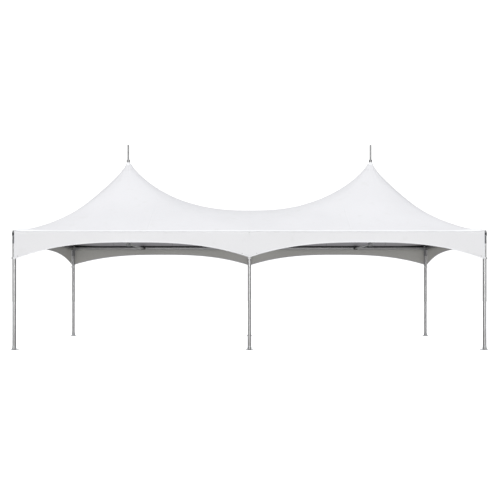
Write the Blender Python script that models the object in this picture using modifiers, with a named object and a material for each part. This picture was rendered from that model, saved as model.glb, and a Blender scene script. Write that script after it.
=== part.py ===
"""Two-peak frame marquee tent: aluminium frame, fabric roof and scalloped valances.

Units are metres and +Z is up. The origin is on the ground at the middle of the tent. X runs along
the long sides, and the front long side faces -Y.
"""
import math

import bmesh
import bpy
from mathutils import Vector

# Plan, measured between the centres of the corner legs
LENGTH_X = 9.144
WIDTH_Y = 4.572

# Heights
EAVE_Z = 2.306
VALLEY_Z = 2.972
PEAK_Z = 4.040
SPIRE_TIP_Z = 4.480
LEG_TOP_Z = 2.319

# Masts stand on the ridge line, at this distance either side of the middle
MAST_X = 2.750
MAST_RADIUS = 0.024

# The mast's head lies inside the roof's small flat top, which the spire stands on
PEAK_FLAT_RADIUS = 0.055
MAST_HEAD_RADIUS = 0.051
MAST_HEAD_HEIGHT = 0.035
MAST_HEAD_CHAMFER = 0.003
SPIRE_RADIUS = 0.019
SPIRE_COLLAR_RADIUS = 0.036
SPIRE_COLLAR_BOTTOM_Z = 4.078
SPIRE_COLLAR_TOP_Z = 4.132
SPIRE_COLLAR_CHAMFER = 0.004
SPIRE_NECK_RADIUS = 0.031
SPIRE_DOME_STEPS = 4

# Extruded frame profile, used for the legs and the eave beams
PROFILE_SIZE = 0.065
CHANNEL_MOUTH = 0.009
CHANNEL_DEPTH = 0.007

# Cross beams, which carry the masts
CROSS_BEAM_RADIUS = 0.0225
CROSS_BEAM_EAVE_Z = 2.268
CROSS_BEAM_HUB_Z = 2.222

# Foot of a mast, a block where the two halves of its cross beam meet, with a socket for the mast
HUB_HALF = 0.045
HUB_BOTTOM_Z = 2.172
HUB_TOP_Z = 2.262
HUB_RIM_HEIGHT = 0.030
HUB_RIM_RADIUS = 0.034

# Saddles, which hold the cross beams' outer ends on the eave beams
SADDLE_HALF_WIDTH = 0.055
SADDLE_PLATE = 0.008
SADDLE_SOCKET_HALF = 0.029
SADDLE_SOCKET_LENGTH = 0.060
SADDLE_BOTTOM_Z = 2.237
SADDLE_TOP_Z = 2.298
SOCKET_CLEARANCE = 0.0016
TILTED_END_CLEARANCE = 0.0008

# Feet, each a plate with four fins that curve down from the leg to a low toe
FOOT_SIZE = 0.160
FOOT_THICKNESS = 0.008
FOOT_FIN_HEIGHT = 0.055
FOOT_FIN_THICKNESS = 0.006
FOOT_FIN_TOP_WIDTH = 0.006
FOOT_FIN_TOE_HEIGHT = 0.004
FOOT_FIN_MARGIN = 0.006
FOOT_FIN_STEPS = 5

# Brackets, whose arms narrow from the shoulder to the tip
COLLAR_SIZE = 0.072
COLLAR_BOTTOM_Z = 2.218
COLLAR_TOP_Z = 2.286
ARM_REACH = 0.170
ARM_THICKNESS = 0.006
ARM_SHOULDER_SHARE = 0.6
ARM_TIP_HALF = 0.012

# Form of the roof
ROUNDED_RIDGE_POWER = 1.7
RIDGE_POWER = 2.45
END_POWER = 1.6
FUNNEL_SHARE = 0.18
HIP_SHARPNESS = 14
ROOF_RINGS = 12
RING_CROWDING = 1.35
RAYS_ON_LONG_SIDE = 12
RAYS_ON_SHORT_SIDE = 8
LEG_NOTCH_CLEARANCE = 0.0015

# Fabric. The valances drop furthest at the legs, and less at the rear of the tent than at the front.
FABRIC = 0.005
FRONT_CORNER_DROP = 0.535
FRONT_MIDDLE_DROP = 0.490
FRONT_SHORT_DROP = 0.210
REAR_CORNER_DROP = 0.452
REAR_MIDDLE_DROP = 0.471
REAR_SHORT_DROP = 0.194
SCALLOP_POWER = 2.7
SCALLOP_STEPS = 16

# Space left between pieces that touch, and how far a cutter reaches past what it cuts
GAP = 0.0003
CUT_MARGIN = 0.010

HALF_X = LENGTH_X / 2
HALF_Y = WIDTH_Y / 2
HALF_PROFILE = PROFILE_SIZE / 2
HALF_COLLAR = COLLAR_SIZE / 2

# The valance hangs just outside the collars, and the roof reaches over its top edge
VALANCE_OFFSET = HALF_COLLAR + GAP
ROOF_HALF_X = HALF_X + VALANCE_OFFSET + FABRIC
ROOF_HALF_Y = HALF_Y + VALANCE_OFFSET + FABRIC
BEAM_TOP_Z = EAVE_Z - FABRIC - GAP
BEAM_Z = BEAM_TOP_Z - HALF_PROFILE

SIDES = {"front": -1, "rear": 1}
ENDS = {"left": -1, "right": 1}


def clear_scene():
    """Remove every object of the open scene."""
    for item in list(bpy.data.objects):
        bpy.data.objects.remove(item, do_unlink=True)


def new_collection(name):
    """Return an empty collection linked to the scene."""
    collection = bpy.data.collections.new(name)
    bpy.context.scene.collection.children.link(collection)
    return collection


clear_scene()
TENT = new_collection("marquee_tent")
CUTTERS = new_collection("cutters")


def new_material(name, colour, roughness, metallic):
    """Return a Principled material."""
    material = bpy.data.materials.new(name)
    material.use_nodes = True
    shader = material.node_tree.nodes["Principled BSDF"]
    shader.inputs["Base Color"].default_value = (*colour, 1.0)
    shader.inputs["Roughness"].default_value = roughness
    shader.inputs["Metallic"].default_value = metallic
    return material


ALUMINIUM = new_material("mill_aluminium", (0.66, 0.67, 0.68), 0.38, 1.0)
DARK_CASTING = new_material("dark_casting", (0.045, 0.045, 0.05), 0.5, 0.3)
GALVANISED = new_material("galvanised_steel", (0.50, 0.51, 0.52), 0.5, 1.0)
PVC_FABRIC = new_material("white_pvc_fabric", (0.86, 0.87, 0.89), 0.42, 0.0)


def link(item, material):
    """Put an object in the tent's collection and give it its material."""
    TENT.objects.link(item)
    item.data.materials.clear()
    item.data.materials.append(material)
    return item


def mesh_object(name, mesh, material):
    """Make an object of a bmesh, and free the bmesh."""
    data = bpy.data.meshes.new(name)
    bmesh.ops.recalc_face_normals(mesh, faces=mesh.faces)
    mesh.to_mesh(data)
    mesh.free()
    return link(bpy.data.objects.new(name, data), material)


def box(name, low, high, material):
    """Make a box between two corners."""
    mesh = bmesh.new()
    bmesh.ops.create_cube(mesh, size=1.0)
    low, high = Vector(low), Vector(high)
    bmesh.ops.scale(mesh, vec=high - low, verts=mesh.verts)
    bmesh.ops.translate(mesh, vec=(low + high) / 2, verts=mesh.verts)
    return mesh_object(name, mesh, material)


def outline(name, points, thickness, material):
    """Make a plate from a flat outline in the local XY plane, centred on its thickness."""
    curve = bpy.data.curves.new(name, "CURVE")
    curve.dimensions = "2D"
    curve.fill_mode = "BOTH"
    curve.extrude = thickness / 2
    spline = curve.splines.new("POLY")
    spline.points.add(len(points) - 1)
    for point, (x, y) in zip(spline.points, points):
        point.co = (x, y, 0.0, 1.0)
    spline.use_cyclic_u = True
    return link(bpy.data.objects.new(name, curve), material)


def rod(name, start, end, radius, material):
    """Make a straight round bar between two points."""
    curve = bpy.data.curves.new(name, "CURVE")
    curve.dimensions = "3D"
    curve.bevel_depth = radius
    curve.bevel_resolution = 4
    curve.use_fill_caps = True
    spline = curve.splines.new("POLY")
    spline.points.add(1)
    for point, place in zip(spline.points, (start, end)):
        point.co = (*place, 1.0)
    return link(bpy.data.objects.new(name, curve), material)


def turned(name, profile, place, material, steps=24):
    """Turn a profile of (radius, height) points, given from the top down, about a vertical axis."""
    mesh = bmesh.new()
    points = [mesh.verts.new((radius, 0.0, height)) for radius, height in profile]
    for first, second in zip(points, points[1:]):
        mesh.edges.new((first, second))
    data = bpy.data.meshes.new(name)
    mesh.to_mesh(data)
    mesh.free()
    item = link(bpy.data.objects.new(name, data), material)
    item.location = place
    screw = item.modifiers.new("turn", "SCREW")
    screw.steps = steps
    screw.render_steps = steps
    screw.use_merge_vertices = True
    screw.merge_threshold = 0.0001
    screw.use_smooth_shade = True
    return item


def combine(item, other, operation):
    """Add a Boolean of another object, which becomes a hidden cutter."""
    for collection in list(other.users_collection):
        collection.objects.unlink(other)
    CUTTERS.objects.link(other)
    other.hide_render = True
    other.display_type = "WIRE"
    modifier = item.modifiers.new(operation.lower(), "BOOLEAN")
    modifier.operation = operation
    modifier.object = other
    return item


def octagon(size):
    """Return the corners of an octagon, given its size across the flats."""
    radius = size / 2 / math.cos(math.pi / 8)
    turns = [math.pi / 8 + math.pi / 4 * step for step in range(8)]
    return [(radius * math.cos(turn), radius * math.sin(turn)) for turn in turns]


def channel_profile(plain_face):
    """Return the octagonal extrusion's outline, with a channel down its main faces except a plain one.

    The main faces are numbered 0 to 3 and turn from +X through +Y.
    """
    corners = octagon(PROFILE_SIZE)
    mouth, floor = CHANNEL_MOUTH / 2, HALF_PROFILE - CHANNEL_DEPTH
    channel = [(HALF_PROFILE, -mouth), (floor, -mouth), (floor, mouth), (HALF_PROFILE, mouth)]
    points = []
    for number in range(4):
        turn = math.pi / 2 * number
        cos, sin = math.cos(turn), math.sin(turn)
        face = [corners[7], *([] if number == plain_face else channel), corners[0]]
        points += [(x * cos - y * sin, x * sin + y * cos) for x, y in face]
    return points


def extrusion(name, length, middle, rotation, plain_face=None):
    """Make a straight length of the frame profile."""
    item = outline(name, channel_profile(plain_face), length, ALUMINIUM)
    item.location = middle
    item.rotation_euler = rotation
    return item


def make_leg(name, x, y, top):
    """Make a leg, which stands on its foot plate, with its plain face to the outside of a long side."""
    bottom = FOOT_THICKNESS + GAP
    extrusion(name, top - bottom, (x, y, (top + bottom) / 2), (0, 0, 0), plain_face=1 if y > 0 else 3)


def make_foot(name, x, y):
    """Make a square foot plate with four curved fins around the bottom of the leg."""
    half = FOOT_SIZE / 2
    foot = box(name, (x - half, y - half, 0), (x + half, y + half, FOOT_THICKNESS), GALVANISED)
    inner = HALF_PROFILE + GAP
    outer = half - FOOT_FIN_MARGIN
    low, high = FOOT_THICKNESS / 2, FOOT_THICKNESS + FOOT_FIN_HEIGHT
    run = outer - inner - FOOT_FIN_TOP_WIDTH
    fall = FOOT_FIN_HEIGHT - FOOT_FIN_TOE_HEIGHT
    turns = [math.pi / 2 * step / FOOT_FIN_STEPS for step in range(FOOT_FIN_STEPS + 1)]
    curve = [(outer - run * math.sin(turn), high - fall * math.cos(turn)) for turn in turns]
    fin = [(inner, high), (inner, low), (outer, low), *curve]
    for quarter in range(4):
        plate = outline(f"{name}_fin_{quarter}", fin, FOOT_FIN_THICKNESS, GALVANISED)
        plate.rotation_euler = (math.pi / 2, 0, math.pi / 2 * quarter)
        plate.location = (x, y, 0)
        combine(foot, solid_from_curve(plate), "UNION")


def solid_from_curve(item):
    """Turn a curve object into a closed mesh object in the same place."""
    bpy.context.view_layer.update()
    evaluated = item.evaluated_get(bpy.context.evaluated_depsgraph_get())
    data = bpy.data.meshes.new_from_object(evaluated)
    mesh = bmesh.new()
    mesh.from_mesh(data)
    bmesh.ops.remove_doubles(mesh, verts=mesh.verts, dist=0.00001)
    bmesh.ops.recalc_face_normals(mesh, faces=mesh.faces)
    mesh.to_mesh(data)
    mesh.free()
    name, place = item.name, item.matrix_world.copy()
    bpy.data.objects.remove(item, do_unlink=True)
    result = bpy.data.objects.new(name, data)
    result.matrix_world = place
    TENT.objects.link(result)
    return result


def make_bracket(name, x, y, arms):
    """Make a bracket: a square collar round the leg, and a tapered arm on each beam's inner face."""
    bottom, top = COLLAR_BOTTOM_Z, COLLAR_TOP_Z
    collar = box(name, (x - HALF_COLLAR, y - HALF_COLLAR, bottom),
                 (x + HALF_COLLAR, y + HALF_COLLAR, top), DARK_CASTING)
    near = HALF_PROFILE + GAP
    shoulder = ARM_REACH * ARM_SHOULDER_SHARE
    for number, (along, inward) in enumerate(arms):
        # The arm's outline, with distance from the leg along the beam, and height
        shape = [(near, bottom), (shoulder, bottom), (ARM_REACH, BEAM_Z - ARM_TIP_HALF),
                 (ARM_REACH, BEAM_Z + ARM_TIP_HALF), (shoulder, top), (near, top)]
        arm = solid_from_curve(outline(f"{name}_arm_{number}", shape, ARM_THICKNESS, DARK_CASTING))
        arm.rotation_euler = (math.pi / 2, 0, math.atan2(along[1], along[0]))
        offset = near + ARM_THICKNESS / 2
        arm.location = (x + inward[0] * offset, y + inward[1] * offset, 0)
        combine(collar, arm, "UNION")
    hole = solid_from_curve(outline(f"{name}_hole", octagon(PROFILE_SIZE + 2 * GAP),
                                    top - bottom + 2 * CUT_MARGIN, DARK_CASTING))
    hole.location = (x, y, (bottom + top) / 2)
    combine(collar, hole, "DIFFERENCE")


def make_frame():
    """Make the legs, feet, brackets and eave beams."""
    columns = {"left": -HALF_X, "middle": 0.0, "right": HALF_X}
    for side, side_sign in SIDES.items():
        y = side_sign * HALF_Y
        inward = (0, -side_sign)
        for column, x in columns.items():
            # The roof covers the middle legs, and is notched round the corner legs
            make_leg(f"leg_{side}_{column}", x, y, BEAM_TOP_Z if column == "middle" else LEG_TOP_Z)
            make_foot(f"foot_{side}_{column}", x, y)
        for end, end_sign in ENDS.items():
            along = (-end_sign, 0)
            make_bracket(f"corner_bracket_{side}_{end}", end_sign * HALF_X, y,
                         [(along, inward), (inward, along)])
            reach = HALF_COLLAR + GAP
            extrusion(f"eave_beam_{side}_{end}", HALF_X - 2 * reach, (end_sign * HALF_X / 2, y, BEAM_Z),
                      (0, math.pi / 2, 0))
        make_bracket(f"middle_bracket_{side}", 0.0, y, [((1, 0), inward), ((-1, 0), inward)])
    for end, end_sign in ENDS.items():
        extrusion(f"eave_beam_end_{end}", WIDTH_Y - 2 * (HALF_COLLAR + GAP),
                  (end_sign * HALF_X, 0, BEAM_Z), (math.pi / 2, 0, 0))


def make_saddle(name, x, side_sign):
    """Make the bracket on the eave beam's inner face, with the socket for the cross beam."""
    back = HALF_Y - HALF_PROFILE - GAP
    front = back - SADDLE_PLATE
    mouth = front - SADDLE_SOCKET_LENGTH
    rows = sorted((side_sign * back, side_sign * front))
    saddle = box(name, (x - SADDLE_HALF_WIDTH, rows[0], SADDLE_BOTTOM_Z),
                 (x + SADDLE_HALF_WIDTH, rows[1], SADDLE_TOP_Z), DARK_CASTING)
    rows = sorted((side_sign * (front + SADDLE_PLATE / 2), side_sign * mouth))
    socket = box(f"{name}_socket", (x - SADDLE_SOCKET_HALF, rows[0], SADDLE_BOTTOM_Z),
                 (x + SADDLE_SOCKET_HALF, rows[1], SADDLE_TOP_Z), DARK_CASTING)
    combine(saddle, socket, "UNION")
    bore = CROSS_BEAM_RADIUS + SOCKET_CLEARANCE
    rows = sorted((side_sign * front, side_sign * (mouth - CUT_MARGIN)))
    cut = box(f"{name}_bore", (x - bore, rows[0], CROSS_BEAM_EAVE_Z - bore),
              (x + bore, rows[1], CROSS_BEAM_EAVE_Z + bore), DARK_CASTING)
    combine(saddle, cut, "DIFFERENCE")


def make_mast_foot(name, x):
    """Make the block under a mast, with a raised rim and a socket for the mast's end."""
    hub = box(name, (x - HUB_HALF, -HUB_HALF, HUB_BOTTOM_Z), (x + HUB_HALF, HUB_HALF, HUB_TOP_Z),
              DARK_CASTING)
    rim_bottom, rim_top = HUB_TOP_Z - HUB_RIM_HEIGHT, HUB_TOP_Z + HUB_RIM_HEIGHT
    rim = [(0, rim_top), (HUB_RIM_RADIUS, rim_top), (HUB_RIM_RADIUS, rim_bottom), (0, rim_bottom)]
    combine(hub, turned(f"{name}_rim", rim, (x, 0, 0), DARK_CASTING), "UNION")
    bore, bore_top = MAST_RADIUS + GAP, rim_top + CUT_MARGIN
    socket = [(0, bore_top), (bore, bore_top), (bore, HUB_TOP_Z), (0, HUB_TOP_Z)]
    combine(hub, turned(f"{name}_socket", socket, (x, 0, 0), DARK_CASTING), "DIFFERENCE")


def make_mast(end, end_sign):
    """Make a mast with the two halves of its cross beam, its foot, its head and its spire."""
    x = end_sign * MAST_X
    saddle_face = HALF_Y - HALF_PROFILE - GAP - SADDLE_PLATE
    for side, side_sign in SIDES.items():
        make_saddle(f"cross_beam_saddle_{side}_{end}", x, side_sign)
        start = (x, side_sign * (HUB_HALF + TILTED_END_CLEARANCE), CROSS_BEAM_HUB_Z)
        finish = (x, side_sign * (saddle_face - TILTED_END_CLEARANCE), CROSS_BEAM_EAVE_Z)
        rod(f"cross_beam_{side}_{end}", start, finish, CROSS_BEAM_RADIUS, ALUMINIUM)
    make_mast_foot(f"mast_foot_{end}", x)
    head_top = PEAK_Z - FABRIC - GAP
    head_bottom = head_top - MAST_HEAD_HEIGHT
    head = [(0, head_top), (MAST_HEAD_RADIUS - MAST_HEAD_CHAMFER, head_top),
            (MAST_HEAD_RADIUS, head_top - MAST_HEAD_CHAMFER), (MAST_HEAD_RADIUS, head_bottom),
            (0, head_bottom)]
    turned(f"mast_head_{end}", head, (x, 0, 0), DARK_CASTING)
    bottom, top = HUB_TOP_Z + GAP, head_bottom - GAP
    mast = [(0, top), (MAST_RADIUS, top), (MAST_RADIUS, bottom), (0, bottom)]
    turned(f"mast_{end}", mast, (x, 0, 0), ALUMINIUM)
    make_spire(f"spire_{end}", x)


def make_spire(name, x):
    """Make the spire over a mast: a shaft with a domed tip, a collar round its foot, and a short neck."""
    base, dome_z = PEAK_Z + GAP, SPIRE_TIP_Z - SPIRE_RADIUS
    turns = [math.pi / 2 * step / SPIRE_DOME_STEPS for step in range(SPIRE_DOME_STEPS + 1)]
    dome = [(SPIRE_RADIUS * math.sin(turn), dome_z + SPIRE_RADIUS * math.cos(turn)) for turn in turns]
    collar = [(SPIRE_RADIUS, SPIRE_COLLAR_TOP_Z),
              (SPIRE_COLLAR_RADIUS - SPIRE_COLLAR_CHAMFER, SPIRE_COLLAR_TOP_Z),
              (SPIRE_COLLAR_RADIUS, SPIRE_COLLAR_TOP_Z - SPIRE_COLLAR_CHAMFER),
              (SPIRE_COLLAR_RADIUS, SPIRE_COLLAR_BOTTOM_Z)]
    neck = [(SPIRE_NECK_RADIUS, SPIRE_COLLAR_BOTTOM_Z), (SPIRE_NECK_RADIUS, base), (0, base)]
    turned(name, dome + collar + neck, (x, 0, 0), ALUMINIUM)


def roof_height(x, y):
    """Height of the roof's outer face.

    Fraction t is 0 at the mast and 1 at the eave, or at the valley between the masts. Near a mast the
    level lines are round, and further out they turn into the rectangle of the eaves, with softened hips.
    """
    across = min(abs(y) / ROOF_HALF_Y, 1.0)
    beyond = abs(x) > MAST_X
    reach = ROOF_HALF_X - MAST_X if beyond else MAST_X
    along = min(abs(abs(x) - MAST_X) / reach, 1.0)
    square = min((along ** HIP_SHARPNESS + across ** HIP_SHARPNESS) ** (1 / HIP_SHARPNESS), 1.0)
    round_form = math.hypot(along, across)
    t = min(square + (round_form - square) * (1.0 - square), 1.0)
    flat = PEAK_FLAT_RADIUS / ROOF_HALF_Y
    t = max(t, flat)
    distance = math.hypot(abs(x) - MAST_X, y)
    heading = (abs(x) - MAST_X) / distance if distance > 0 else 0.0
    power = RIDGE_POWER + (END_POWER - RIDGE_POWER) * heading ** 2 if beyond else RIDGE_POWER
    slope = ((1.0 - t) / (1.0 - flat)) ** power
    funnel = (-math.log(t) - (1.0 - t)) / (-math.log(flat) - (1.0 - flat))
    rise = 1.0 - (t if beyond else across) ** ROUNDED_RIDGE_POWER
    peak_share = (1.0 - FUNNEL_SHARE) * slope + FUNNEL_SHARE * funnel
    start = EAVE_Z + (VALLEY_Z - EAVE_Z) * rise
    return start + (PEAK_Z - VALLEY_Z) * peak_share


def half_roof_edge():
    """Return points round the edge of the roof's left half, as (x, y), notched round the corner legs."""
    notch = HALF_PROFILE + LEG_NOTCH_CLEARANCE
    notch_x, notch_y = HALF_X - notch, HALF_Y - notch
    front = [((-ROOF_HALF_X, -notch_y), 1), ((-notch_x, -notch_y), 1),
             ((-notch_x, -ROOF_HALF_Y), RAYS_ON_LONG_SIDE), ((0.0, -ROOF_HALF_Y), RAYS_ON_SHORT_SIDE)]
    rear = [((0.0, ROOF_HALF_Y), RAYS_ON_LONG_SIDE), ((-notch_x, ROOF_HALF_Y), 1),
            ((-notch_x, notch_y), 1), ((-ROOF_HALF_X, notch_y), RAYS_ON_SHORT_SIDE)]
    corners = front + rear
    points = []
    for (start, count), (end, _) in zip(corners, corners[1:] + corners[:1]):
        for step in range(count):
            share = step / count
            points.append((start[0] + (end[0] - start[0]) * share, start[1] + (end[1] - start[1]) * share))
    return points


def make_roof():
    """Make the roof fabric as one sheet over both masts, in rings round the left mast and mirrored."""
    mesh = bmesh.new()
    edge = half_roof_edge()
    rings = []
    for ring in range(ROOF_RINGS + 1):
        share = (ring / ROOF_RINGS) ** RING_CROWDING
        row = []
        for x, y in edge:
            turn = math.atan2(y, x + MAST_X)
            inner_x = -MAST_X + PEAK_FLAT_RADIUS * math.cos(turn)
            inner_y = PEAK_FLAT_RADIUS * math.sin(turn)
            place_x = inner_x + (x - inner_x) * share
            place_y = inner_y + (y - inner_y) * share
            height = PEAK_Z if ring == 0 else roof_height(place_x, place_y)
            row.append(mesh.verts.new((place_x, place_y, height)))
        rings.append(row)
    mesh.faces.new(rings[0])
    for inner, outer in zip(rings, rings[1:]):
        for index in range(len(edge)):
            following = (index + 1) % len(edge)
            mesh.faces.new((inner[index], outer[index], outer[following], inner[following]))
    roof = mesh_object("roof_canopy", mesh, PVC_FABRIC)
    if roof.data.polygons[0].normal.z < 0:
        roof.data.flip_normals()
    mirror = roof.modifiers.new("mirror", "MIRROR")
    mirror.merge_threshold = 0.0001
    sheet = roof.modifiers.new("sheet", "SOLIDIFY")
    sheet.thickness = FABRIC
    sheet.offset = -1.0


def valance_outline(width, leg_drops, short_drop):
    """Return a valance's outline, hung from its top edge at height 0, with a scallop from leg to leg.

    The leg drops are its lengths at the legs in turn. The short drop is its length in a scallop's middle.
    """
    bays = len(leg_drops) - 1
    bay = width / bays
    points = [(-width / 2, 0.0)]
    for number in range(bays):
        middle = -width / 2 + bay * (number + 0.5)
        for step in range(SCALLOP_STEPS + (1 if number == bays - 1 else 0)):
            share = 2 * step / SCALLOP_STEPS - 1
            leg_drop = leg_drops[number] if share < 0 else leg_drops[number + 1]
            drop = short_drop + (leg_drop - short_drop) * abs(share) ** SCALLOP_POWER
            points.append((middle + share * bay / 2, -drop))
    points.append((width / 2, 0.0))
    return points[::-1]


def make_valances():
    """Make the four valances, which hang from the roof's edge to the middle of the corner legs."""
    offset = VALANCE_OFFSET + FABRIC / 2
    drops = {"front": (FRONT_CORNER_DROP, FRONT_MIDDLE_DROP, FRONT_SHORT_DROP),
             "rear": (REAR_CORNER_DROP, REAR_MIDDLE_DROP, REAR_SHORT_DROP)}
    for side, side_sign in SIDES.items():
        corner_drop, middle_drop, short_drop = drops[side]
        shape = valance_outline(LENGTH_X, [corner_drop, middle_drop, corner_drop], short_drop)
        item = outline(f"valance_{side}", shape, FABRIC, PVC_FABRIC)
        item.rotation_euler = (math.pi / 2, 0, 0)
        item.location = (0, side_sign * (HALF_Y + offset), BEAM_TOP_Z)
    shape = valance_outline(WIDTH_Y, [FRONT_CORNER_DROP, REAR_CORNER_DROP],
                            (FRONT_SHORT_DROP + REAR_SHORT_DROP) / 2)
    for end, end_sign in ENDS.items():
        item = outline(f"valance_end_{end}", shape, FABRIC, PVC_FABRIC)
        item.rotation_euler = (math.pi / 2, 0, math.pi / 2)
        item.location = (end_sign * (HALF_X + offset), 0, BEAM_TOP_Z)


def make_tent():
    """Make the whole tent."""
    make_frame()
    for end, end_sign in ENDS.items():
        make_mast(end, end_sign)
    make_roof()
    make_valances()


make_tent()
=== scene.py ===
import math

import bmesh
import bpy
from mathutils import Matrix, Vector, noise
from mathutils.bvhtree import BVHTree


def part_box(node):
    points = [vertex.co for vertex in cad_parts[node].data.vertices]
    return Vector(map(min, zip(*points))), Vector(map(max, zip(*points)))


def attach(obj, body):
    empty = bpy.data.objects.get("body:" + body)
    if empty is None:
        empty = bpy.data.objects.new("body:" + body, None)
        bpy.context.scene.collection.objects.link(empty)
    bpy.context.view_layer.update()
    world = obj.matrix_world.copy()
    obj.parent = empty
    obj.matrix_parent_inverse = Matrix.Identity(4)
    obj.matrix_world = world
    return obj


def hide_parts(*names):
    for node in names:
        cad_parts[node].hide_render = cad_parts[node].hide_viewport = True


# Looks of the two-peak marquee tent, built around its fixed frame. Units are metres and +Z is up.
# X runs along the long sides, and the front long side faces -Y.
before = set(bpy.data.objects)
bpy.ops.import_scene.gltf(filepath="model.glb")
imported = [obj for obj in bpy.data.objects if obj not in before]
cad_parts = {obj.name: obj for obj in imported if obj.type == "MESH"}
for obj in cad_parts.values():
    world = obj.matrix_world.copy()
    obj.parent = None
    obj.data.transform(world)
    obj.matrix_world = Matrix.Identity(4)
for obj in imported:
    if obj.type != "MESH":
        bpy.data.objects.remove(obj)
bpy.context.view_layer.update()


def middle(node):
    """Middle of a node's box."""
    low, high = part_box(node)
    return (low + high) / 2


# Sizes of the tent, read from its frame
ROOF_HALF_X, ROOF_HALF_Y, PEAK_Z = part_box("roof_canopy")[1]
HALF_X, HALF_Y = middle("leg_rear_right").xy
LEG_TOP_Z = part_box("leg_rear_right")[1].z
LEG_SIZE = 2 * (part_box("leg_rear_right")[1].x - HALF_X)
BEAM_BOTTOM_Z, BEAM_TOP_Z = (corner.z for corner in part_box("eave_beam_front_left"))
MAST_X = middle("mast_right").x
COLLAR_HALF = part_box("corner_bracket_rear_right")[1].x - HALF_X
COLLAR_BOTTOM_Z, COLLAR_TOP_Z = (corner.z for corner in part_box("corner_bracket_rear_right"))
VALANCE_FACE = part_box("valance_rear")[1].y - HALF_Y
ROOF_SHELL = 0.0053
EAVE_Z = BEAM_TOP_Z + ROOF_SHELL
FABRIC_EDGE = ROOF_HALF_Y - HALF_Y - 0.001

# Form of the roof's surface
VALLEY_Z = 2.972
PEAK_FLAT_RADIUS = 0.055
ROUNDED_RIDGE_POWER = 1.7
RIDGE_POWER = 2.45
END_POWER = 1.6
FUNNEL_SHARE = 0.18
HIP_SHARPNESS = 14

# Fabric
FABRIC = 0.0014
ROOF_RINGS = 60
RING_CROWDING = 1.35
EDGE_STEP = 0.075
CORNER_CROWDING = 1.4
CORNER_CUT_RADIUS = 0.047
CORNER_CUT_RISE = 0.020
CORNER_CUT_REACH = 0.055
CORNER_LIFT = 0.050
CORNER_LIFT_X = 0.42
CORNER_LIFT_Y = 0.30
EDGE_FOLD = 0.022
CORNER_FOLD_DEPTH = 0.0035
CORNER_FOLD_FADE = 0.55
PEAK_FOLD_DEPTH = 0.004
PEAK_FOLD_FADE = 0.32
ROOF_WAVE = 0.007
VALANCE_WAVE = 0.0055
EDGE_INSETS = (0.036, 0.024, 0.014, 0.006, 0.0)
ROOF_HEM_WIDTH = 0.052
ROOF_HEM_LIFT = 0.0011
SEAM_WIDTH = 0.024
SEAM_LIFT = 0.0009
PANEL_WIDTH = 0.76
LEG_DROPS = {"front": (0.535, 0.500), "rear": (0.452, 0.471)}
SHORT_DROPS = {"front": 0.210, "rear": 0.194}
SCALLOP_POWER = 2.7
VALANCE_MIDDLE = VALANCE_FACE - 0.0025
VALANCE_END_INSET = 0.012
HEM_WIDTH = 0.022
HEM_THICKNESS = 0.0013
WELT_RADIUS = 0.006
EYELET_RISE = 0.034
EYELET_RADIUS = 0.0072
EYELET_ROLL = 0.0022
EYELET_OPENING = 0.0054
EYELET_INSET = 0.08
EYELET_FROM_MIDDLE = 0.14
PATCH_THICKNESS = 0.0016
PEAK_PATCH = (0.058, 0.15)
CORNER_PATCH_REACH = 0.26
CORNER_SHADOW_REACH = 0.11
THREAD_SPACING = 0.0016
WEBBING_RIB_SPACING = 0.0030

# Fittings
SPIRE_NECK = 0.031
SHOE_THICKNESS = 0.0012
# Width of the black strips on the eave beams, which paint the shadow under the roof
SHADOW_STRIP_WIDTH = 0.007
ARM_FACE = LEG_SIZE / 2 + 0.0063
SADDLE_FACE = LEG_SIZE / 2 + 0.0083
BRACKET_BOLT_REACHES = (0.075, 0.125)
CLAMP_BOLTS_Z = (2.090, 2.122)

# Bands round the legs: foot, top, thickness and the cut of the edges
CLAMP = (2.072, 2.140, 0.0010, 0.0004)
CLAMP_LINER = (2.141, COLLAR_BOTTOM_Z - 0.002, 0.0006, 0.0002)
CAP_SKIRT = (COLLAR_TOP_Z + 0.001, LEG_TOP_Z + 0.0002, 0.0008, 0.0003)
TIE_STRAP = (1.775, 1.803, 0.0022, 0.0006)
BASE_COLLAR = (0.066, 0.084, 0.0030, 0.0008)

SIDES = {"front": -1, "rear": 1}
ENDS = {"left": -1, "right": 1}
COLUMNS = {"left": -1, "middle": 0, "right": 1}


# Helpers for materials
class Nodes:
    """A node tree, built one node at a time."""

    def __init__(self, tree):
        self.tree = tree

    def add(self, kind, inputs=(), **settings):
        """Add a node. Inputs are pairs of a socket's name or number and a value or another socket."""
        node = self.tree.nodes.new(kind)
        for name, value in settings.items():
            setattr(node, name, value)
        for socket, value in inputs:
            if isinstance(value, bpy.types.NodeSocket):
                self.tree.links.new(value, node.inputs[socket])
            else:
                node.inputs[socket].default_value = value
        return node

    def maths(self, operation, first, second):
        """A sum, product or other operation on two numbers."""
        return self.add("ShaderNodeMath", [(0, first), (1, second)], operation=operation).outputs[0]

    def spread(self, value, low, high, to_low, to_high):
        """Map a range of values to another, smoothly."""
        node = self.add("ShaderNodeMapRange", [("Value", value), ("From Min", low), ("From Max", high),
                                               ("To Min", to_low), ("To Max", to_high)],
                        interpolation_type="SMOOTHSTEP")
        return node.outputs["Result"]


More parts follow.
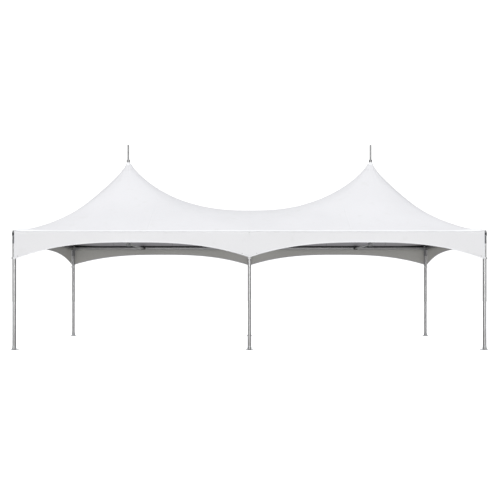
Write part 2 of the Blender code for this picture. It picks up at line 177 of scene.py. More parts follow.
class Surface(Nodes):
    """A Principled material whose colour, roughness and relief come from procedural nodes."""

    def __init__(self, name, **settings):
        self.material = bpy.data.materials.new(name)
        self.material.use_nodes = True
        super().__init__(self.material.node_tree)
        self.shader = self.tree.nodes["Principled BSDF"]
        self.relief = None
        for socket, value in settings.items():
            self.shader.inputs[socket.replace("_", " ")].default_value = value

    def place(self, stretch=(1, 1, 1)):
        """Position on the object, stretched along each axis."""
        position = self.add("ShaderNodeTexCoord").outputs["Object"]
        mapping = self.add("ShaderNodeMapping", [("Vector", position), ("Scale", stretch)])
        return mapping.outputs["Vector"]

    def cloud(self, scale, detail=3.0, stretch=(1, 1, 1), offset=0.0):
        """Soft noise between 0 and 1."""
        node = self.add("ShaderNodeTexNoise", [("Vector", self.place(stretch)), ("W", offset),
                                               ("Scale", scale), ("Detail", detail)], noise_dimensions="4D")
        return node.outputs["Fac"]

    def ribs(self, spacing, axes):
        """The sum of ridges across each axis, at the given spacing."""
        inputs = [("Vector", self.place()), ("Scale", math.pi / 10 / spacing)]
        waves = [self.add("ShaderNodeTexWave", inputs, wave_type="BANDS", bands_direction=axis)
                 for axis in axes]
        first, second, third = (wave.outputs["Fac"] for wave in waves)
        return self.maths("ADD", self.maths("ADD", first, second), third)

    def blend(self, share, first, second):
        """Mix two colours, each a triple or a socket."""
        colours = [value if isinstance(value, bpy.types.NodeSocket) else (*value, 1.0)
                   for value in (first, second)]
        node = self.add("ShaderNodeMix", [(0, share), (6, colours[0]), (7, colours[1])], data_type="RGBA")
        return node.outputs[2]

    def bump(self, height, distance, strength):
        """Add a layer of relief."""
        inputs = [("Height", height), ("Distance", distance), ("Strength", strength)]
        if self.relief is not None:
            inputs.append(("Normal", self.relief))
        self.relief = self.add("ShaderNodeBump", inputs).outputs["Normal"]
        self.tree.links.new(self.relief, self.shader.inputs["Normal"])

    def finish(self, colour, roughness=None):
        """Link the colour and the roughness, and return the material."""
        self.tree.links.new(colour, self.shader.inputs["Base Color"])
        if roughness is not None:
            self.tree.links.new(roughness, self.shader.inputs["Roughness"])
        return self.material


def coated_fabric(name, clean, clouding, dirt, roughness, weave=0.6):
    """PVC-coated polyester: a fine woven relief, faint darker clouding and handling dirt."""
    surface = Surface(name, Specular_IOR_Level=0.4)
    clouds = surface.spread(surface.cloud(0.8, 4.0), 0.35, 0.65, 0.0, 1.0)
    base = surface.blend(clouds, clean, [value - clouding for value in clean])
    grime = surface.spread(surface.cloud(5.5, 6.0, offset=4.0), 0.56, 0.78, 0.0, 0.55)
    base = surface.blend(grime, base, dirt)
    matt = surface.spread(surface.cloud(9.0, 5.0, offset=2.0), 0.3, 0.7, roughness - 0.05, roughness + 0.07)
    surface.bump(surface.ribs(THREAD_SPACING, "XYZ"), 0.00012, weave)
    surface.bump(surface.cloud(26.0, 3.0, offset=7.0), 0.0006, 0.35)
    return surface.finish(base, matt)


def drawn_aluminium(name, axis, tint, rounding=0.001):
    """Extruded aluminium with fine lines along the bar, oxide clouding, scuffs, and splashes low down.

    Rounding is the radius that softens its edges in the light.
    """
    surface = Surface(name, Metallic=0.8)
    surface.relief = surface.add("ShaderNodeBevel", [("Radius", rounding)], samples=6).outputs["Normal"]
    along = {"X": (4, 260, 260), "Y": (260, 4, 260), "Z": (260, 260, 4)}[axis]
    lines = surface.cloud(1.0, 4.0, along)
    clouds = surface.spread(surface.cloud(7.0, 5.0, offset=3.0), 0.35, 0.7, 0.0, 1.0)
    bright, dull, worn = ([(level + warmth) * tint for warmth in (0.003, 0.0, -0.005)]
                          for level in (0.645, 0.565, 0.445))
    base = surface.blend(clouds, bright, dull)
    base = surface.blend(surface.spread(lines, 0.4, 0.75, 0.0, 0.35), base, worn)
    height = surface.add("ShaderNodeSeparateXYZ", [("Vector", surface.place())]).outputs["Z"]
    splash = surface.maths("MULTIPLY", surface.spread(height, 0.05, 0.5, 0.3, 0.0),
                           surface.cloud(16.0, 6.0, offset=5.0))
    rough = surface.spread(surface.cloud(14.0, 5.0, offset=8.0), 0.3, 0.75, 0.24, 0.40)
    surface.bump(lines, 0.0002, 0.5)
    surface.bump(surface.spread(surface.cloud(60.0, 2.0, offset=9.0), 0.66, 0.74, 0.0, 1.0), 0.0002, 0.4)
    return surface.finish(surface.blend(splash, base, (0.30, 0.29, 0.27)),
                          surface.maths("ADD", rough, surface.maths("MULTIPLY", lines, 0.08)))


def powder_coat(name, dark, worn):
    """Powder-coated casting: orange-peel relief, with the coat rubbed thin in places."""
    surface = Surface(name, Metallic=0.25, Specular_IOR_Level=0.5)
    rubbed = surface.spread(surface.cloud(38.0, 6.0), 0.58, 0.72, 0.0, 0.8)
    surface.bump(surface.cloud(420.0, 2.0, offset=5.0), 0.0004, 0.5)
    surface.bump(surface.cloud(70.0, 3.0, offset=6.0), 0.0008, 0.25)
    return surface.finish(surface.blend(rubbed, dark, worn),
                          surface.spread(surface.cloud(90.0, 3.0, offset=2.0), 0.3, 0.7, 0.42, 0.62))


def galvanised_steel(name):
    """Hot-dip galvanised steel: spangled zinc, with dirt near the ground."""
    surface = Surface(name, Metallic=0.7)
    spangle = surface.add("ShaderNodeTexVoronoi", [("Vector", surface.place()), ("Scale", 85.0)])
    flake = surface.add("ShaderNodeSeparateColor", [(0, spangle.outputs["Color"])]).outputs[0]
    base = surface.blend(flake, (0.53, 0.54, 0.55), (0.69, 0.70, 0.71))
    dirt = surface.spread(surface.cloud(22.0, 6.0), 0.48, 0.7, 0.0, 0.5)
    surface.bump(flake, 0.0002, 0.35)
    surface.bump(surface.cloud(180.0, 4.0, offset=3.0), 0.0004, 0.4)
    return surface.finish(surface.blend(dirt, base, (0.36, 0.35, 0.33)),
                          surface.spread(flake, 0.0, 1.0, 0.38, 0.58))


def zinc_plate(name, shade):
    """Plated fasteners and rings."""
    surface = Surface(name, Metallic=0.9)
    clouds = surface.cloud(120.0, 4.0)
    surface.bump(surface.cloud(700.0, 2.0, offset=1.0), 0.0001, 0.4)
    return surface.finish(surface.blend(clouds, shade, [value * 0.7 for value in shade]),
                          surface.spread(clouds, 0.3, 0.7, 0.25, 0.45))


def moulded_plastic(name, shade, roughness):
    """Moulded plastic with a fine grain."""
    surface = Surface(name, Specular_IOR_Level=0.5)
    clouds = surface.cloud(30.0, 4.0)
    surface.bump(surface.cloud(900.0, 2.0, offset=3.0), 0.0002, 0.5)
    return surface.finish(surface.blend(clouds, shade, [min(value * 1.35 + 0.01, 1.0) for value in shade]),
                          surface.spread(clouds, 0.3, 0.7, roughness - 0.06, roughness + 0.08))


def webbing(name, shade):
    """Woven strap, with diagonal ribs."""
    surface = Surface(name, Specular_IOR_Level=0.25, Sheen_Weight=0.15)
    dusty = surface.spread(surface.cloud(45.0, 5.0), 0.4, 0.75, 0.0, 0.5)
    surface.bump(surface.ribs(WEBBING_RIB_SPACING, "XZY"), 0.0005, 0.6)
    return surface.finish(surface.blend(dusty, shade, [value * 0.72 for value in shade]),
                          surface.spread(surface.cloud(80.0, 3.0, offset=2.0), 0.3, 0.7, 0.68, 0.85))


ROOF_OUTSIDE = coated_fabric("roof_fabric_outside", (0.794, 0.789, 0.80), 0.02, (0.735, 0.73, 0.725), 0.46)
# The seams' undersides are darker than the roof's inside: painted shade.
SEAM_INSIDE_PAINTED_SHADE = coated_fabric("roof_seam_inside_painted_shade", (0.60, 0.585, 0.61), 0.04, (0.52, 0.51, 0.52), 0.55)
# The roof's inside is darker than its outside, though both are one fabric: painted shade under the roof.
ROOF_INSIDE_PAINTED_SHADE = coated_fabric("roof_fabric_inside_painted_shade", (0.70, 0.685, 0.71), 0.04, (0.61, 0.60, 0.61), 0.55)
# The valances' outside is lighter than the roof's outside, though both are one fabric: painted light on the
# upright sheets.
VALANCE_OUTSIDE_PAINTED_LIGHT = coated_fabric("valance_fabric_outside_painted_light", (0.896, 0.889, 0.89), 0.02, (0.82, 0.81, 0.8), 0.5)
# The valances' inside is darker and warmer than their outside: painted shade under the roof.
VALANCE_INSIDE_PAINTED_SHADE = coated_fabric("valance_fabric_inside_painted_shade", (0.875, 0.86, 0.80), 0.03, (0.79, 0.775, 0.72), 0.55)
# The hem fabric is lighter than the roof and valances: partly a real doubled hem, partly a painted highlight
# along the eaves, hems and edges.
HEM_FABRIC_PAINTED_HIGHLIGHT = coated_fabric("hem_fabric_painted_highlight", (0.92, 0.92, 0.925), 0.02, (0.86, 0.86, 0.85), 0.42, weave=0.3)
LEG_METAL = drawn_aluminium("leg_aluminium", "Z", 0.97, 0.026)
# A darker copy of the leg aluminium for the middle legs: painted shade.
MIDDLE_LEG_METAL_PAINTED_SHADE = drawn_aluminium("middle_leg_aluminium_painted_shade", "Z", 0.83, 0.024)
SPIRE_METAL = drawn_aluminium("spire_aluminium", "Z", 0.70)
BEAM_METAL_X = drawn_aluminium("beam_aluminium_long_sides", "X", 0.92)
# A darker copy for the end beams: painted shade under the roof.
END_BEAM_METAL_PAINTED_SHADE = drawn_aluminium("beam_aluminium_ends_painted_shade", "Y", 0.60)
# A lighter copy for the cross beams: painted light in the shade under the roof.
CROSS_BEAM_METAL_PAINTED_LIGHT = drawn_aluminium("cross_beam_aluminium_painted_light", "Y", 1.1)
CASTING = powder_coat("black_casting", (0.045, 0.046, 0.050), (0.13, 0.13, 0.135))
SLEEVE_CASTING = powder_coat("sleeve_casting", (0.15, 0.152, 0.16), (0.25, 0.25, 0.26))
# A paler copy of the sleeve casting for the rear legs: painted light in the shade under the roof.
REAR_SLEEVE_CASTING_PAINTED_LIGHT = powder_coat("rear_sleeve_casting_painted_light", (0.32, 0.322, 0.33), (0.42, 0.42, 0.43))
GREY_CASTING = powder_coat("grey_casting", (0.45, 0.454, 0.46), (0.54, 0.54, 0.55))
# Black for the strips on the eave beams and the sheets under the roof's corners: painted shadow.
PAINTED_SHADOW_BLACK = moulded_plastic("painted_shadow_black", (0.012, 0.012, 0.013), 0.8)
FOOT_METAL = galvanised_steel("galvanised_foot")
BOLT_METAL = zinc_plate("zinc_bolts", (0.62, 0.62, 0.60))
EYELET_METAL = zinc_plate("nickel_eyelets", (0.80, 0.79, 0.77))
CAP_PLASTIC = moulded_plastic("grey_plastic", (0.20, 0.20, 0.205), 0.5)
DARK_PLASTIC = moulded_plastic("black_plastic", (0.02, 0.02, 0.022), 0.45)
STRAP = webbing("white_webbing", (0.90, 0.90, 0.89))


# Helpers for meshes
def add_to_scene(name, data):
    """Put data in the scene as an object."""
    item = bpy.data.objects.new(name, data)
    bpy.context.scene.collection.objects.link(item)
    return item


def finish_mesh(name, mesh, materials, smooth_angle=40):
    """Make a piece of a bmesh: its materials, smooth shading, its body and its finish."""
    bmesh.ops.recalc_face_normals(mesh, faces=mesh.faces)
    data = bpy.data.meshes.new(name)
    mesh.to_mesh(data)
    mesh.free()
    for material in materials:
        data.materials.append(material)
    data.shade_smooth()
    data.set_sharp_from_angle(angle=math.radians(smooth_angle))
    piece = add_to_scene(name, data)
    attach(piece, "root")
    return piece


def thicken(piece, outward, thickness, offset, lining=0):
    """Face a sheet outward and give it its thickness. Lining is 1 where its back has the next material."""
    if piece.data.polygons[0].normal.dot(Vector(outward)) < 0:
        piece.data.flip_normals()
    sheet = piece.modifiers.new("sheet", "SOLIDIFY")
    sheet.thickness = thickness
    sheet.offset = offset
    sheet.material_offset = lining


def add_rows(mesh, rows, closed):
    """Add faces between rows of vertices. Each row is a closed loop, or else a line."""
    count = len(rows[0])
    for near, far in zip(rows, rows[1:]):
        for index in range(count if closed else count - 1):
            following = (index + 1) % count
            mesh.faces.new((near[index], far[index], far[following], near[following]))


def add_loft(mesh, rings, closed=False):
    """Add a skin over rings of points. The ends are capped, or else the last ring meets the first."""
    rows = [[mesh.verts.new(point) for point in ring] for ring in rings]
    if closed:
        rows.append(rows[0])
    else:
        mesh.faces.new(rows[0])
        mesh.faces.new(rows[-1])
    add_rows(mesh, rows, True)


def add_box(mesh, low, high, edge):
    """Add a box between two corners, with its edges cut by a chamfer unless that is 0."""
    made = bmesh.ops.create_cube(mesh, size=1.0)["verts"]
    low, high = Vector(low), Vector(high)
    bmesh.ops.scale(mesh, vec=high - low, verts=made)
    bmesh.ops.translate(mesh, vec=(low + high) / 2, verts=made)
    if edge:
        edges = list({link for vert in made for link in vert.link_edges})
        bmesh.ops.bevel(mesh, geom=edges, offset=edge, segments=2, affect="EDGES", profile=0.5)


def circle(centre, radius, first, second, sides, turn=0.0):
    """Points of a circle in the plane of two unit vectors."""
    angles = [turn + 2 * math.pi * step / sides for step in range(sides)]
    return [centre + first * (radius * math.cos(angle)) + second * (radius * math.sin(angle))
            for angle in angles]


def cross_axes(direction):
    """Two unit vectors square to a direction."""
    direction = Vector(direction).normalized()
    helper = Vector((0, 0, 1)) if abs(direction.z) < 0.9 else Vector((1, 0, 0))
    first = direction.cross(helper).normalized()
    return first, direction.cross(first).normalized()


def add_turned(mesh, base, direction, profile, sides):
    """Add a turned solid: profile points are (radius, distance along the direction from the base)."""
    direction = Vector(direction).normalized()
    first, second = cross_axes(direction)
    add_loft(mesh, [circle(Vector(base) + direction * height, radius, first, second, sides)
                    for radius, height in profile])


def add_bolt(mesh, base, direction, size=0.013):
    """Add a hexagon bolt head on a washer. Size is across the flats."""
    washer = 0.0018
    add_turned(mesh, base, direction, [(size * 0.80, 0.0), (size * 0.80, washer * 0.7),
                                       (size * 0.74, washer)], 20)
    direction = Vector(direction).normalized()
    corner = size / math.sqrt(3)
    head = size * 0.6
    add_turned(mesh, Vector(base) + direction * washer, direction,
               [(corner, 0.0), (corner, head * 0.8), (corner * 0.86, head)], 6)


def octagon_ring(x, y, z, size):
    """Corners of an upright octagonal leg's outline, given its size across the flats."""
    radius = size / 2 / math.cos(math.pi / 8)
    return circle(Vector((x, y, z)), radius, Vector((1, 0, 0)), Vector((0, 1, 0)), 8, math.pi / 8)


def add_sleeve(mesh, x, y, band):
    """Add an octagonal band round a leg."""
    low, high, thickness, edge = band
    inner = LEG_SIZE + 0.0006
    outer = LEG_SIZE + 2 * thickness
    levels = [(inner, low), (outer - 2 * edge, low), (outer, low + edge), (outer, high - edge),
              (outer - 2 * edge, high), (inner, high)]
    add_loft(mesh, [octagon_ring(x, y, z, size) for size, z in levels], closed=True)


# The roof's form
def roof_height(x, y):
    """Height of the roof's outer face, round near each mast and rectangular at the eaves."""
    across = min(abs(y) / ROOF_HALF_Y, 1.0)
    beyond = abs(x) > MAST_X
    reach = ROOF_HALF_X - MAST_X if beyond else MAST_X
    along = min(abs(abs(x) - MAST_X) / reach, 1.0)
    square = min((along ** HIP_SHARPNESS + across ** HIP_SHARPNESS) ** (1 / HIP_SHARPNESS), 1.0)
    round_form = math.hypot(along, across)
    t = min(square + (round_form - square) * (1.0 - square), 1.0)
    flat = PEAK_FLAT_RADIUS / ROOF_HALF_Y
    t = max(t, flat)
    distance = math.hypot(abs(x) - MAST_X, y)
    heading = (abs(x) - MAST_X) / distance if distance > 0 else 0.0
    power = RIDGE_POWER + (END_POWER - RIDGE_POWER) * heading ** 2 if beyond else RIDGE_POWER
    slope = ((1.0 - t) / (1.0 - flat)) ** power
    funnel = (-math.log(t) - (1.0 - t)) / (-math.log(flat) - (1.0 - flat))
    rise = 1.0 - (t if beyond else across) ** ROUNDED_RIDGE_POWER
    peak_share = (1.0 - FUNNEL_SHARE) * slope + FUNNEL_SHARE * funnel
    return EAVE_Z + (VALLEY_Z - EAVE_Z) * rise + (PEAK_Z - VALLEY_Z) * peak_share


def from_cut_out(x, y):
    """Distance from the nearest of the cut-outs round the corner legs."""
    return max(math.hypot(abs(x) - HALF_X, abs(y) - HALF_Y) - CORNER_CUT_RADIUS, 0.0)


def edge_height(x, y):
    """Height of the roof's edge, which rises a little round the corner legs."""
    return EAVE_Z + CORNER_CUT_RISE * math.exp(-(from_cut_out(x, y) / CORNER_CUT_REACH) ** 2)


def fabric_height(x, y):
    """Height of the fabric: the roof's form, raised inside the corners, with folds and slight waves."""
    to_x, to_y = ROOF_HALF_X - abs(x), ROOF_HALF_Y - abs(y)
    from_edge = max(min(to_x, to_y, from_cut_out(x, y)), 0.0)
    held = 1.0 - math.exp(-(from_edge / EDGE_FOLD) ** 2)
    lift = CORNER_LIFT * math.exp(-(to_x / CORNER_LIFT_X) ** 2 - (to_y / CORNER_LIFT_Y) ** 2)
    from_corner = math.hypot(to_x, to_y)
    fan = math.atan2(to_y, to_x)
    fading = math.exp(-from_corner / CORNER_FOLD_FADE) * min(from_corner / 0.4, 1.0) ** 2
    corner_fold = CORNER_FOLD_DEPTH * fading * math.cos(fan * 12)
    from_mast = math.hypot(abs(x) - MAST_X, y)
    turn = math.atan2(y, abs(x) - MAST_X)
    start = min(max((from_mast - PEAK_FLAT_RADIUS) / 0.10, 0.0), 1.0)
    uneven = 1.0 + noise.noise(Vector((math.cos(turn) * 2, math.sin(turn) * 2, x)))
    fading = start * math.exp(-from_mast / PEAK_FOLD_FADE)
    peak_fold = PEAK_FOLD_DEPTH * fading * math.cos(turn * 16 + uneven) * uneven
    inside = min(to_x / 0.5, to_y / 0.5, 1.0)
    wave = ROOF_WAVE * inside * start * noise.noise(Vector((x * 0.9, y * 0.9, 3.7)))
    raised = edge_height(x, y) - EAVE_Z + held * (lift + corner_fold)
    return roof_height(x, y) + raised + peak_fold + wave


def edge_runs():
    """Points round the edge of the roof's left half, from the front middle to the rear middle."""
    reach = ROOF_HALF_Y - HALF_Y
    opening = math.asin(reach / CORNER_CUT_RADIUS)
    shift = math.sqrt(CORNER_CUT_RADIUS ** 2 - reach ** 2)
    arc_steps = 10

    def run(start, end, from_corner):
        steps = round((Vector(end) - Vector(start)).length / EDGE_STEP)
        shares = [(step / steps) ** CORNER_CROWDING for step in range(steps + 1)]
        if not from_corner:
            shares = [1.0 - share for share in shares[::-1]]
        return [Vector(start).lerp(Vector(end), share) for share in shares[:-1]]

    corner = Vector((-HALF_X, -HALF_Y))
    angles = [(math.pi / 2 + 2 * opening) * step / arc_steps - opening for step in range(arc_steps)]
    arc = [corner + Vector((math.cos(angle), math.sin(angle))) * CORNER_CUT_RADIUS for angle in angles]
    front = run((0.0, -ROOF_HALF_Y), (-HALF_X + shift, -ROOF_HALF_Y), False)
    end = run((-ROOF_HALF_X, -HALF_Y + shift), (-ROOF_HALF_X, 0.0), True)
    end += run((-ROOF_HALF_X, 0.0), (-ROOF_HALF_X, HALF_Y - shift), False)
    far_arc = [Vector((x, -y)) for x, y in [(-ROOF_HALF_X, -HALF_Y + shift)] + arc[:0:-1]]
    rear = run((-HALF_X + shift, ROOF_HALF_Y), (0.0, ROOF_HALF_Y), True)
    return front + arc + end + far_arc + rear


def make_roof():
    """One sheet over both masts: rings round each mast, which meet on the middle line."""
    mesh = bmesh.new()
    middle_steps = 2 * round(ROOF_HALF_Y / EDGE_STEP)
    middle_line = [Vector((0.0, ROOF_HALF_Y * (1 - 2 * step / middle_steps)))
                   for step in range(middle_steps)]
    edge = edge_runs() + middle_line
    mast = Vector((-MAST_X, 0.0))
    spacing = [((ring / ROOF_RINGS) ** RING_CROWDING, 0.0) for ring in range(ROOF_RINGS)]
    for sign in (1, -1):
        rows = []
        for share, inset in spacing + [(1.0, inset) for inset in EDGE_INSETS]:
            row = []
            for point in edge:
                ray = (point - mast).normalized()
                place = (mast + ray * PEAK_FLAT_RADIUS).lerp(point, share) - ray * inset
                x = sign * place.x
                row.append(mesh.verts.new((x, place.y, fabric_height(x, place.y))))
            rows.append(row)
        mesh.faces.new(rows[0])
        add_rows(mesh, rows, True)
    bmesh.ops.remove_doubles(mesh, verts=mesh.verts, dist=0.0001)
    # The roof's inside is painted darker than its outside: painted shade under the roof.
    roof = finish_mesh("roof_fabric", mesh, [ROOF_OUTSIDE, ROOF_INSIDE_PAINTED_SHADE], 60)
    thicken(roof, (0, 0, 1), FABRIC, -1.0, lining=1)
    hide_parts("roof_canopy")
    return roof


def make_welt():
    """The rounded bead along the eaves and round the corner cut-outs, where roof and valance are joined."""
    half = edge_runs()
    line = half + [Vector((0.0, ROOF_HALF_Y))] + [Vector((-point.x, point.y)) for point in half[:0:-1]]
    mesh = bmesh.new()
    rings = []
    for before, point, after in zip(line[-1:] + line[:-1], line, line[1:] + line[:1]):
        ahead = (after - before).normalized()
        outward = Vector((-ahead.y, ahead.x))
        centre = (point - outward * 0.0015).to_3d() + Vector((0, 0, edge_height(*point) - 0.004))
        rings.append(circle(centre, WELT_RADIUS, outward.to_3d(), Vector((0, 0, 1)), 10))
    add_loft(mesh, rings, closed=True)
    # The welt's lighter hem fabric paints a highlight along the eaves.
    return finish_mesh("eave_welt", mesh, [HEM_FABRIC_PAINTED_HIGHLIGHT], 60)


class RoofSkin:
    """The roof's outer face as it was made, to lay bands, seams and patches on."""

    def __init__(self, roof):
        points = [vertex.co.copy() for vertex in roof.data.vertices]
        faces = [tuple(face.vertices) for face in roof.data.polygons]
        self.tree = BVHTree.FromPolygons(points, faces)

    def point(self, x, y, lift):
        """A point over or under the roof's face."""
        hit = self.tree.ray_cast(Vector((x, y, 2 * PEAK_Z)), Vector((0, 0, -1)))[0]
        return Vector((x, y, (hit.z if hit else fabric_height(x, y)) + lift))

    def band(self, name, line, width, lift, sink, materials):
        """A flat band along a line of (x, y) points, each with the direction across the band.

        It reaches over the roof's face by the lift and under it by the sink. Its last material faces down.
        """
        mesh = bmesh.new()
        count = round(width / 0.006)
        places = [0.0] + [0.06 + 0.88 * step / count for step in range(count + 1)] + [1.0]
        section = [(place, lift if 0.0 < place < 1.0 else -0.0004) for place in places]
        section += [(place, -sink - 0.0008 if 0.0 < place < 1.0 else -0.0008) for place in places[::-1]]
        rings = [[self.point(*(point + across * (place * width)), height) for place, height in section]
                 for point, across in line]
        add_loft(mesh, rings)
        piece = finish_mesh(name, mesh, materials, 50)
        for face in piece.data.polygons:
            face.material_index = len(materials) - 1 if face.normal.z < 0 else 0
        return piece


def eave_lines(beyond, short_of, step_length):
    """Name, outward direction and a line of points for each eave.

    The line lies beyond the legs' axes, and ends short of the corner legs.
    """
    for half, across, names, is_long in ((HALF_X, HALF_Y, SIDES, True), (HALF_Y, HALF_X, ENDS, False)):
        reach = half - short_of
        steps = round(2 * reach / step_length)
        for name, sign in names.items():
            outward = Vector((0, sign)) if is_long else Vector((sign, 0))
            along = Vector((outward.y, outward.x))
            yield name, outward, [along * (reach * (2 * step / steps - 1)) + outward * (across + beyond)
                                  for step in range(steps + 1)]


def make_roof_hems(skin):
    """The doubled bands along the edges of the roof. The corner patches cover their ends."""
    # The lighter hem fabric paints a highlight along the roof's edges.
    return [skin.band(f"roof_hem_{name}", [(point, -outward) for point in line], ROOF_HEM_WIDTH,
                      ROOF_HEM_LIFT, 0.0, [HEM_FABRIC_PAINTED_HIGHLIGHT])
            for name, outward, line in eave_lines(FABRIC_EDGE, CORNER_CUT_RADIUS + 0.009, 0.025)]


def make_seams(skin):
    """Welded seams between the roof's panels, straight as seen from above."""
    front, end = ROOF_HALF_Y - ROOF_HEM_WIDTH, ROOF_HALF_X - ROOF_HEM_WIDTH
    peak_clearance, corner_clearance = 0.20, 0.05
    lines = {"middle": ((0.0, -front), (0.0, front))}
    for side_x, sign in ENDS.items():
        mast = sign * MAST_X
        for side_y, towards in SIDES.items():
            for label, corner_x in (("outer", sign * (end - corner_clearance)), ("inner", 0.0)):
                corner = Vector((corner_x, towards * (front - corner_clearance)))
                start = Vector((mast, 0.0)) + (corner - Vector((mast, 0.0))).normalized() * peak_clearance
                lines[f"hip_{label}_{side_y}_{side_x}"] = (start, corner)
            for label, way, reach in (("outer", sign, end - MAST_X), ("inner", -sign, MAST_X)):
                x = mast + way * PANEL_WIDTH
                lines[f"side_{label}_{side_y}_{side_x}"] = (
                    (x, towards * front * PANEL_WIDTH / reach), (x, towards * front))
            lines[f"end_{side_y}_{side_x}"] = (
                (mast + sign * (end - MAST_X) * PANEL_WIDTH / front, towards * PANEL_WIDTH),
                (sign * end, towards * PANEL_WIDTH))
    made = []
    for name, (start, finish) in lines.items():
        start, finish = Vector(start), Vector(finish)
        ahead = (finish - start).normalized()
        across = Vector((-ahead.y, ahead.x))
        steps = max(round((finish - start).length / 0.03), 2)
        line = [(start.lerp(finish, step / steps) - across * (SEAM_WIDTH / 2), across)
                for step in range(steps + 1)]
        # The seams' undersides are darker still: painted shade.
        made.append(skin.band(f"roof_seam_{name}", line, SEAM_WIDTH, SEAM_LIFT, FABRIC + SEAM_LIFT,
                              [ROOF_OUTSIDE, SEAM_INSIDE_PAINTED_SHADE]))
    return made


# Valances
class Valance:
    """One side's valance. Its drops are at the legs in turn, and in the middle of its scallops."""

    def __init__(self, node, width, leg_drops, short_drop, outward, half):
        self.node, self.name, self.width = node, f"{node}_fabric", width
        self.leg_drops, self.short_drop = leg_drops, short_drop
        self.bays = len(leg_drops) - 1
        self.outward = Vector(outward)
        self.along = Vector((-outward[1], outward[0], 0.0))
        self.half = half

    def full_drop(self, distance):
        """Length of the valance below its top edge."""
        share = (distance + self.width / 2) / self.width * self.bays
        bay = min(math.floor(share), self.bays - 1)
        within = 2 * (share - bay) - 1
        leg_drop = self.leg_drops[bay] if within < 0 else self.leg_drops[bay + 1]
        return self.short_drop + (leg_drop - self.short_drop) * abs(within) ** SCALLOP_POWER

    def point(self, distance, drop, out):
        """A place on the valance: distance along it, drop below its top, and how far out from its middle."""
        share = drop / self.full_drop(distance)
        bay = self.width / self.bays
        swing = math.sin(math.pi * (distance + self.width / 2) / bay) ** 2
        wander = noise.noise(Vector((distance * 1.7, drop * 2.0, self.half))) + 0.6
        wave = VALANCE_WAVE * share ** 1.5 * swing * wander
        place = self.along * distance + self.outward * (self.half + VALANCE_MIDDLE + out + wave)
        rise = (edge_height(place.x, place.y) - EAVE_Z) * (1.0 - share) ** 3
        return place + Vector((0, 0, BEAM_TOP_Z - drop + rise))

    def make_sheet(self):
        """The hanging sheet, with its top edge under the roof's."""
        columns, rows = round(self.width / 0.04), 12
        mesh = bmesh.new()
        grid = []
        for column in range(columns + 1):
            distance = self.width * (column / columns - 0.5)
            full = self.full_drop(distance)
            grid.append([mesh.verts.new(self.point(distance, full * row / rows, 0.0))
                         for row in range(rows + 1)])
        add_rows(mesh, grid, False)
        # Lighter outside and darker, warmer inside: painted light and painted shade.
        piece = finish_mesh(self.name, mesh, [VALANCE_OUTSIDE_PAINTED_LIGHT, VALANCE_INSIDE_PAINTED_SHADE], 60)
        thicken(piece, self.outward, FABRIC, 0.0, lining=1)
        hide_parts(self.node)
        return piece

    def make_hem(self):
        """The folded hem round the scalloped edge, a little thicker than the sheet."""
        steps = round(self.width / 0.04)
        thick = FABRIC / 2 + HEM_THICKNESS
        section = [(HEM_WIDTH, FABRIC / 2), (HEM_WIDTH - 0.002, thick), (0.002, thick), (-0.0015, 0.0),
                   (0.002, -thick), (HEM_WIDTH - 0.002, -thick), (HEM_WIDTH, -FABRIC / 2)]
        mesh = bmesh.new()
        rings = []
        for step in range(steps + 1):
            distance = self.width * (step / steps - 0.5)
            full = self.full_drop(distance)
            rings.append([self.point(distance, full - up, out) for up, out in section])
        add_loft(mesh, rings)
        for end in (-1, 1):
            edge = end * self.width / 2
            full = self.full_drop(edge)
            add_loft(mesh, [[self.point(edge - end * along, full * row / 12, out) for along, out in section]
                            for row in range(13)])
        # The lighter hem fabric paints a highlight along the scalloped edge.
        return finish_mesh(f"{self.name}_hem", mesh, [HEM_FABRIC_PAINTED_HIGHLIGHT], 50)

    def make_eyelets(self, places):
        """Eyelets near the hem, each a rolled metal ring on both faces, and a dark disc in each opening as
        painted shade.
        """
        sides = 20
        mesh, holes = bmesh.new(), bmesh.new()
        first, second = cross_axes(self.outward)
        for distance in places:
            centre = self.point(distance, self.full_drop(distance) - EYELET_RISE, 0.0)
            for face in (1, -1):
                base = centre + self.outward * (face * FABRIC / 2)
                add_loft(mesh, [circle(base + ray * EYELET_RADIUS, EYELET_ROLL, ray, self.outward, 8)
                                for ray in circle(Vector(), 1.0, first, second, sides)], closed=True)
            # A dark disc fills each opening: painted shade in the hole.
            add_turned(holes, centre - self.outward * 0.0012, self.outward,
                       [(EYELET_OPENING, 0.0), (EYELET_OPENING, 0.0024)], sides)
        return [finish_mesh(f"{self.name}_eyelets", mesh, [EYELET_METAL], 50),
                finish_mesh(f"{self.name}_eyelet_hole_shade", holes, [CAP_PLASTIC], 50)]


def make_valances():
    """The four valances with their hems and eyelets."""
    made = []
    places = (EYELET_INSET - HALF_X, -EYELET_FROM_MIDDLE, EYELET_FROM_MIDDLE, HALF_X - EYELET_INSET)
    for side, sign in SIDES.items():
        corner_drop, middle_drop = LEG_DROPS[side]
        drops = (corner_drop, middle_drop, corner_drop)
        made.append((Valance(f"valance_{side}", 2 * (HALF_X - VALANCE_END_INSET), drops,
                             SHORT_DROPS[side], (0, sign, 0), HALF_Y), places))
    end_drops = [LEG_DROPS[side][0] for side in SIDES]
    for end, sign in ENDS.items():
        # Seen from outside, the front of the tent is to the left of the right end
        made.append((Valance(f"valance_end_{end}", 2 * (HALF_Y - VALANCE_END_INSET), end_drops[::sign],
                             sum(SHORT_DROPS.values()) / 2, (sign, 0, 0), HALF_X),
                     (EYELET_INSET - HALF_Y, HALF_Y - EYELET_INSET)))
    for valance, places in made:
        sheet = valance.make_sheet()
        extras = [valance.make_hem(), *valance.make_eyelets(places)]
        area = sum(valance.full_drop(valance.width * ((step + 0.5) / 200 - 0.5))
                   for step in range(200)) * valance.width / 200


